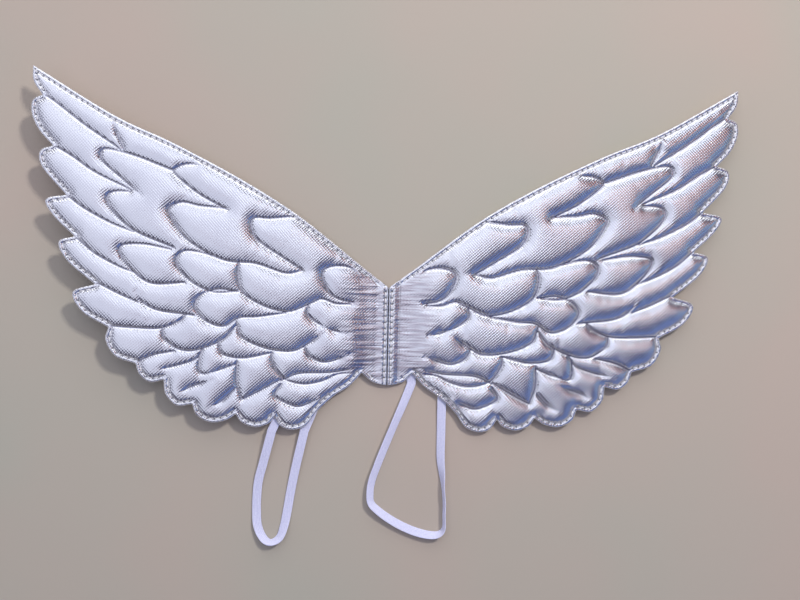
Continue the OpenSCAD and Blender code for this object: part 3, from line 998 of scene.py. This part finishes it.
def make_join_thread():
    """The stitches that hold the two folded edges together, seen in the seam's slit."""
    batch = Batch()
    for i, (low, high) in enumerate(seam_stitches("seam_join_thread")):
        lean = 0.28 * MM * (-1) ** i
        a, b = np.array([-lean, low, 1.0 * MM]), np.array([lean, high, 1.0 * MM])
        batch.stitch(a, b, -0.15 * MM, round_section(0.2 * MM))
    batch.sew("seam_join_stitches", "centre_seam", "seam_join_thread")


TACK_STITCHES = 6
# Half of such a stitch, from the backing down round the elastic's edge: across as a share
# of the elastic's half width, and up in mm.
TACK = [(-1.09, 1.4), (-1.07, 0.7), (-0.98, 0.1), (-0.5, 0)]


def make_bartack(wing, anchor, exit, name):
    """Zigzag stitches across the sewn end of the elastic, wrapped over its edges."""
    a, b = (np.array([abs(x) * MM, y * MM + SEAM_Y]) for x, y in (anchor, exit))
    along = (b - a) / np.linalg.norm(b - a)
    across = np.array([-along[1], along[0]])
    level = wing.back_z - 1.35 * MM
    reach = STRAP_W / 2
    batch = Batch()
    for k in range(TACK_STITCHES):
        middle = a + along * (2 + k * 1.2) * MM
        lean = math.radians(12) * (-1) ** k
        path = []
        for out, up in TACK + [(0, -0.03)] + [(-out, up) for out, up in TACK[::-1]]:
            place = middle + (across * math.cos(lean) + along * math.sin(lean)) * out * reach
            path.append((*place, level + up * MM))
        batch.add(wing.place(np.array(path)), np.array([along[0] * wing.sign, along[1], 0.02]),
                  round_section(0.22 * MM))
    batch.sew(f"{wing.side}_{name}_zigzag", f"{wing.side}_wing", f"{wing.side}_{name}")


for side in SIDES:
    wing = wings[side]
    wing.ends = edge_stitches(wing)
    holes = []
    for (a, b), (c, _) in zip(wing.ends, np.roll(wing.ends, -1, 0)):
        holes += ringed((b + c) / 2 if np.hypot(*(b - c)) < 3 * MM else b)
    rows = seam_stitches(f"{side}_seam_topstitch")
    wing.seam_holes = np.array([(TOPSTITCH_X, high + (STITCH_PITCH - STITCH_L) / 2) for _, high in rows])
    for middle in wing.seam_holes:
        holes += ringed(middle)
    wing.holes = np.array(holes)
    foam = make_foam(wing)
    make_backing(wing)
    make_face(wing)
    make_seam_allowance(wing)
    make_edge_threads(wing)
    make_topstitch(wing)
    for anchor, exit, name in zip(ANCHORS[side], EXITS[side], ("upper_bartack", "lower_bartack")):
        make_bartack(wing, anchor, exit, name)
make_join_thread()


# ---------------------------------------------------------------- studio
def panel_light(name, place, size, radiance, colour, aim=None):
    """A soft, evenly bright panel of the given size. It faces its aim, or straight down."""
    aim = aim or (*place[:2], 0)
    data = bpy.data.lights.new(name, "AREA")
    data.shape = "RECTANGLE"
    data.size, data.size_y = size
    data.energy = radiance * math.pi * size[0] * size[1]
    data.color = colour
    light = new_object(name, data)
    light.location = place
    light.rotation_euler = (Vector(aim) - Vector(place)).to_track_quat("-Z", "Y").to_euler()
    light.visible_camera = False
    return light


floor_mesh = bpy.data.meshes.new("floor")
floor_mesh.from_pydata([(-4, -4, 0), (4, -4, 0), (4, 4, 0), (-4, 4, 0)], [], [(0, 1, 2, 3)])
floor = new_object("floor", floor_mesh)
floor.location.z = -0.2 * MM
floor_mesh.materials.append(floor_material())

CENTRE = (0, 0, 0)
panel_light("overhead_near", (-0.76, -0.25, 1.6), (1.52, 1.5), 0.80, (0.86, 0.89, 1.0))
panel_light("overhead_far", (-0.76, 1.0, 1.6), (1.52, 1.0), 1.10, (0.88, 0.91, 1.0))
panel_light("overhead_middle", (0.10, 0.82, 1.6), (0.20, 1.36), 1.20, (0.88, 0.91, 1.0))
panel_light("overhead_root", (0.10, -0.26, 1.6), (0.20, 0.80), 0.52, (1.0, 0.80, 0.86))
panel_light("overhead_right", (0.34, 0.62, 1.6), (0.28, 1.3), 1.85, (0.86, 0.92, 1.0))
panel_light("left_wall", (-1.7, 0.2, 0.7), (1.8, 0.8), 0.60, (0.86, 0.88, 1.0), CENTRE)
panel_light("back_panel", (0.0, 1.7, 0.9), (2.4, 1.0), 1.7, (0.96, 0.98, 1.0), CENTRE)
panel_light("warm_panel", (0.74, 0.38, 1.3), (0.48, 0.46), 0.84, (1.0, 0.42, 0.23))
panel_light("blue_panel", (0.80, -0.80, 1.05), (1.6, 0.8), 0.34, (0.20, 0.40, 1.0), CENTRE)
panel_light("teal_panel", (1.25, 0.05, 1.3), (0.5, 0.8), 0.60, (0.45, 0.72, 0.95), CENTRE)
key = panel_light("key_lamp", (0.85, 0.95, 1.35), (0.22, 0.22), 130.0, (1.0, 0.97, 0.93), CENTRE)
key.visible_glossy = False
# The room: pale walls up to 16 degrees above the floor, and a dark ceiling from 31 up.
PALE_WALL = (0.40, 0.39, 0.42)
DARK_CEILING = (0.05, 0.045, 0.085)
world = bpy.data.worlds.new("world")
scene.world = world
world.use_nodes = True
sky = world.node_tree.nodes
height = sky.new("ShaderNodeSeparateXYZ")
shade = sky.new("ShaderNodeValToRGB")
world.node_tree.links.new(sky.new("ShaderNodeTexCoord").outputs["Generated"], height.inputs[0])
world.node_tree.links.new(height.outputs["Z"], shade.inputs["Fac"])
world.node_tree.links.new(shade.outputs["Color"], sky["Background"].inputs["Color"])
for stop, at, colour in zip(shade.color_ramp.elements, (0.28, 0.52), (PALE_WALL, DARK_CEILING)):
    stop.position = at
    stop.color = (*colour, 1)
